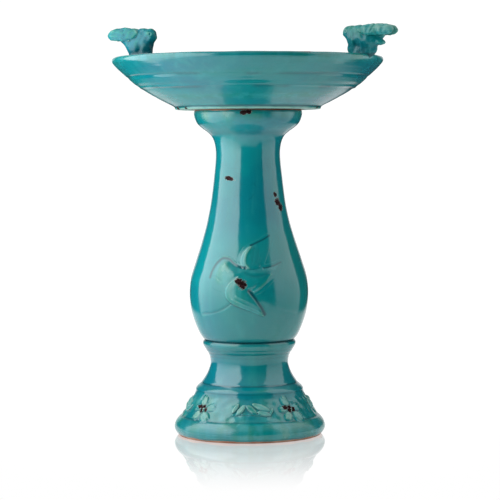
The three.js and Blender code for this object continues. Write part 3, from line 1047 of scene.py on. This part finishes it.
def build_bird(name, lumps, stretch, pale, dark, seed):
    """A bird at its CAD node's place, facing the basin's middle, `stretch` times as high.

    `pale` is how much paler its top is made, a painted highlight, and `dark` how much darker it is
    made low down, a painted shade as well as pooled glaze.
    """
    low, high = span(name)
    centre = (low + high) / 2
    turn = math.atan2(centre[1], centre[0])
    perch = basin_high[0] - 12.4
    mesh = rough_bird(lumps, 0.62)
    mesh.name = name + "_glazed"
    piece = linked(bpy.data.objects.new(name + "_glazed", mesh))
    p = vertices(piece)
    nudge = 0.05
    for _ in range(6):  # onto the skin, by Newton's method
        d = bird_distance(p, lumps)
        slope = [bird_distance(p + step, lumps) - d for step in nudge * np.eye(3)]
        slope = np.stack(slope, 1) / nudge
        p = p - slope * (d / np.maximum((slope**2).sum(1), 0.2))[:, None]
    p = relaxed(piece, p, 2)
    move_vertices(piece, p)
    rough = bird_details(p) + 0.26 * waves(p, 10, seed)
    p = p + per_vertex(piece, "normal") * rough[:, None]
    x, y, z = p.T
    # Painted highlight on the top. Painted shade low on the body, as well as pooled glaze, and at
    # the foot where it meets the rim.
    thin = pale * step_up(z, 22, 40) + 0.1 * step_up(-x, 20, 40) + 0.1 * waves(p, 20, seed + 1)
    foot, body = 1 - step_up(z, -2, 4), 1 - step_up(z - 0.3 * x, 8, 26)
    pooled = np.maximum(0.9 * foot, dark * body)
    p[:, 2] *= stretch
    perched = Matrix.Translation((perch * math.cos(turn), perch * math.sin(turn), basin_high[2]))
    place = np.array(perched @ Matrix.Rotation(turn + math.pi, 4, "Z"))
    move_vertices(piece, p @ place[:3, :3].T + place[:3, 3])
    placed(piece, "basin", name)
    note_relief(piece, 24, 0.5, pooled, thin)
    return piece


# ---- chips ----


def around(degrees, r, z):
    """A point `degrees` to the right of the front."""
    a = math.radians(degrees - 90)
    return (r * math.cos(a), r * math.sin(a), z)


def at(run, degrees, z):
    """The same on the pedestal's outside."""
    return around(degrees, on_run(run, place_at(run, z))[0], z)


COLUMN_CHIPS = [
    (at(column_outside, -34, 385), 9, (1.0, 1, 0.42), 0.2),
    (at(column_outside, 50, 350), 6.6, (1, 1, 0.9), 0.3),
    (at(column_outside, 56, 342), 6.4, (1, 1, 1.1), 0),
    (at(column_outside, 47, 360.5), 4.2, (1, 1, 1), 0),
    (at(column_outside, -4.5, 481.5), 6, (1, 1, 0.7), 0),
    (at(column_outside, 0.8, 482.5), 5.4, (1, 1, 0.7), 0),
    (at(column_outside, 176, 300), 6, (1.2, 1, 0.7), 0),
]
DOVE_CHIPS = [
    ((-15, -91, 235.5), 8, (1, 1, 0.75), 0.4),
    ((-9.5, -91, 230.5), 7.5, (0.9, 1, 1), 0.3),
]
BASIN_CHIPS = [
    (around(24, basin_high[0] - 5, basin_high[2]), 5, (2.2, 1, 0.5), 0),
    (around(-57, 108.5, basin_low[2] + 1.5), 4, (1, 1, 0.5), 0),
    (around(-72, 108.5, basin_low[2] + 1.5), 5, (1, 1.4, 0.6), 0),
    (around(70, 108.5, basin_low[2] + 1.8), 4, (1, 1, 0.6), 0),
]
# Bare streaks across a flower's centre: across, up, size, and the stretch across and up.
FLOWER_STREAKS = [
    (-8, 2.5, 5.6, 1.0, 0.7), (-2, -1.5, 5.4, 0.55, 1.3), (6, -1, 5, 0.7, 1.1), (1, 3, 4.6, 1, 0.6),
]


def flower_chips(turn):
    """The streaks on the slope of the base, `turn` degrees from +X."""
    r, z, _, _ = on_run(base_outside, SPRIG_PLACE)
    chips = []
    for across, up, size, wide, tall in FLOWER_STREAKS:
        a = math.radians(turn) + SPRIG_TURN + across / r
        radius = r + 1.5 - up * 0.55
        spot = (radius * math.cos(a), radius * math.sin(a), z + 1.6 + up * 0.83)
        chips.append((spot, size, (wide, wide, tall), 0))
    return chips


# ---- putting it together ----


def dress(piece, material):
    piece.data.materials.clear()
    piece.data.materials.append(material)


def sprig_on_base(name, node, turn, half_u, half_v, relief):
    turn = math.radians(turn) + SPRIG_TURN
    patch = (base_outside, base_skin, turn, SPRIG_PLACE, half_u, half_v, relief, 0.55)
    return sprig(name, node, *patch)


dress(build_base(), glaze("glaze_base", [(at(base_outside, 78, 3.6), 3, (1, 1, 0.6), 0)]))
dress(build_column(), glaze("glaze_column", COLUMN_CHIPS))
dress(build_dove(), glaze("glaze_dove", DOVE_CHIPS))
for side, turn in FLOWERS.items():
    flower = sprig_on_base("flower_sprig_" + side, "flower_" + side, turn, 30, 28, flower_relief)
    dress(flower, glaze("glaze_flower_" + side, flower_chips(turn)))
leaf_glaze = glaze("glaze_leaves")
for side, turn in SPRAYS.items():
    spray = sprig_on_base("leaf_sprig_" + side, "leaf_spray_" + side, turn, 43, 22, spray_relief)
    dress(spray, leaf_glaze)
dress(build_basin(), glaze("glaze_basin", BASIN_CHIPS))
dress(build_ring(), bare_clay())
bird_glaze = glaze("glaze_birds", gloss=0.3, shine=0.28)
# The back bird is made darker and less pale on top than the front one: painted shade.
dress(build_bird("front_bird", FRONT_BIRD, 1.0, 0.5, 0.3, 31), bird_glaze)
dress(build_bird("back_bird", BACK_BIRD, 1.2, 0.1, 0.8, 37), bird_glaze)

# ---- studio ----

FLOOR_CORNERS = [(-0.8, -1.3, 0), (0.8, -1.3, 0), (0.8, 3.2, 0), (-0.8, 3.2, 0)]
FLOOR_GLOW = 0.3
ROOM_LIGHT = 0.035
SEEN_LIGHT = 1.05
CAMERA_AT = (0.0028, -2.925, 0.430)
CAMERA_DOWN, CAMERA_ROLL = 3.0, 0.35  # degrees
CAMERA_LENS, CAMERA_SENSOR = 140.4, 36


def studio_floor():
    """A pale table with a mirror's shine at a grazing look, which fades away from the object.

    The camera sees an oval of it, which clears to the white room. In reflections it is wider.
    """
    sheet = bpy.data.meshes.new("studio_floor")
    sheet.from_pydata(FLOOR_CORNERS, [], [(0, 1, 2, 3)])
    floor = linked(bpy.data.objects.new("studio_floor", sheet))
    n = Material("studio_floor")
    n.shader.inputs["Base Color"].default_value = (0.8, 0.8, 0.8, 1)
    n.shader.inputs["Roughness"].default_value = 0.4
    n.shader.inputs["Emission Color"].default_value = WHITE
    n.shader.inputs["Emission Strength"].default_value = FLOOR_GLOW
    facing = n.add("LayerWeight", {"Blend": 0.5}).outputs["Facing"]
    grazing = n.between(facing, 0.55, 0.8)
    shine = n.math("MULTIPLY", grazing, n.between(n.size(n.where), 0.1, 0.52, 0.5, 0.0))
    mirror = n.add("BsdfGlossy", {"Color": WHITE, "Roughness": 0.0}).outputs[0]
    surface = n.blended(grazing, n.shader.outputs[0], n.add("Emission").outputs[0])
    surface = n.blended(shine, surface, mirror)
    x, y, _ = n.parts(n.where)
    oval = n.size(n.scaled((1.8, 1.25, 1), (0, 0.3, 0)))
    beside, behind = n.between(n.math("ABSOLUTE", x), 0.5, 0.74), n.between(y, 1.7, 3.1)
    reflected = n.math("MAXIMUM", beside, behind)
    to_camera = n.add("LightPath").outputs["Is Camera Ray"]
    sockets = {0: to_camera, 2: reflected, 3: n.between(oval, 0.66, 0.98)}
    gone = n.add("Mix", sockets, data_type="FLOAT").outputs[0]
    clear = n.add("BsdfTransparent").outputs[0]
    n.put(n.output.inputs[0], n.blended(gone, surface, clear))
    dress(floor, n.material)


def softbox(name, x, near, far, height, radiance):
    """A panel beside the object at `x`, lit towards it, from `near` to `far` along Y.

    It is dimmer low down, and the camera doesn't see it.
    """
    light = bpy.data.lights.new(name, "AREA")
    light.shape = "RECTANGLE"
    light.size, light.size_y = far - near, height
    light.energy = radiance * math.pi * (far - near) * height
    n = Nodes(light)
    z = n.parts(n.add("NewGeometry").outputs["Position"])["Z"]
    strength = n.between(z, 0.05, 0.4, 0.5, 1.0, "LINEAR")
    n.put(n.tree.nodes["Emission"].inputs["Strength"], strength)
    lamp = linked(bpy.data.objects.new(name, light))
    lamp.location = (x, (near + far) / 2, 0.012 + height / 2)
    lamp.rotation_euler = Vector((-x, 0, 0)).to_track_quat("-Z", "Y").to_euler()
    lamp.visible_camera = False


def world():
    """White to the camera, directly or in the table. To the rest, a dim room with light above.

    A white sweep stands behind the object, above the table.
    """
    made = bpy.data.worlds.new("studio")
    bpy.context.scene.world = made
    n = Nodes(made)
    n.tree.nodes.clear()
    x, y, z = n.parts(n.add("TexCoord").outputs["Generated"])
    across = n.math("ADD", n.math("MULTIPLY", x, x), n.math("MULTIPLY", y, y))
    ahead = n.math("DIVIDE", y, n.math("SQRT", across))
    sweep = n.between(ahead, 0.90, 0.97, 0.0, 0.92, "LINEAR")
    sweep = n.math("MULTIPLY", sweep, n.between(z, -0.03, 0.02, kind="LINEAR"))
    above = n.between(z, 0.45, 0.9, 0.0, 0.4, "LINEAR")
    strength = n.math("ADD", n.math("MAXIMUM", sweep, above), ROOM_LIGHT)
    room = n.add("Background", (WHITE, strength)).outputs[0]
    seen = n.add("Background", (WHITE, SEEN_LIGHT)).outputs[0]
    path = n.add("LightPath").outputs
    straight = n.math("MAXIMUM", path["Is Camera Ray"], path["Is Singular Ray"])
    n.add("OutputWorld", (n.blended(straight, room, seen),))


def camera():
    data = bpy.data.cameras.new("camera")
    data.lens, data.sensor_width, data.clip_end = CAMERA_LENS, CAMERA_SENSOR, 50
    view = linked(bpy.data.objects.new("camera", data))
    view.location = CAMERA_AT
    view.rotation_euler = (math.radians(90 - CAMERA_DOWN), math.radians(CAMERA_ROLL), 0)
    bpy.context.scene.camera = view


studio_floor()
softbox("softbox_left", -0.52, -1.03, 0.16, 1.3, 3.7)
softbox("softbox_right", 0.52, -0.435, 0.17, 1.3, 1.5)
world()
camera()
bpy.context.scene.view_settings.view_transform = "Standard"
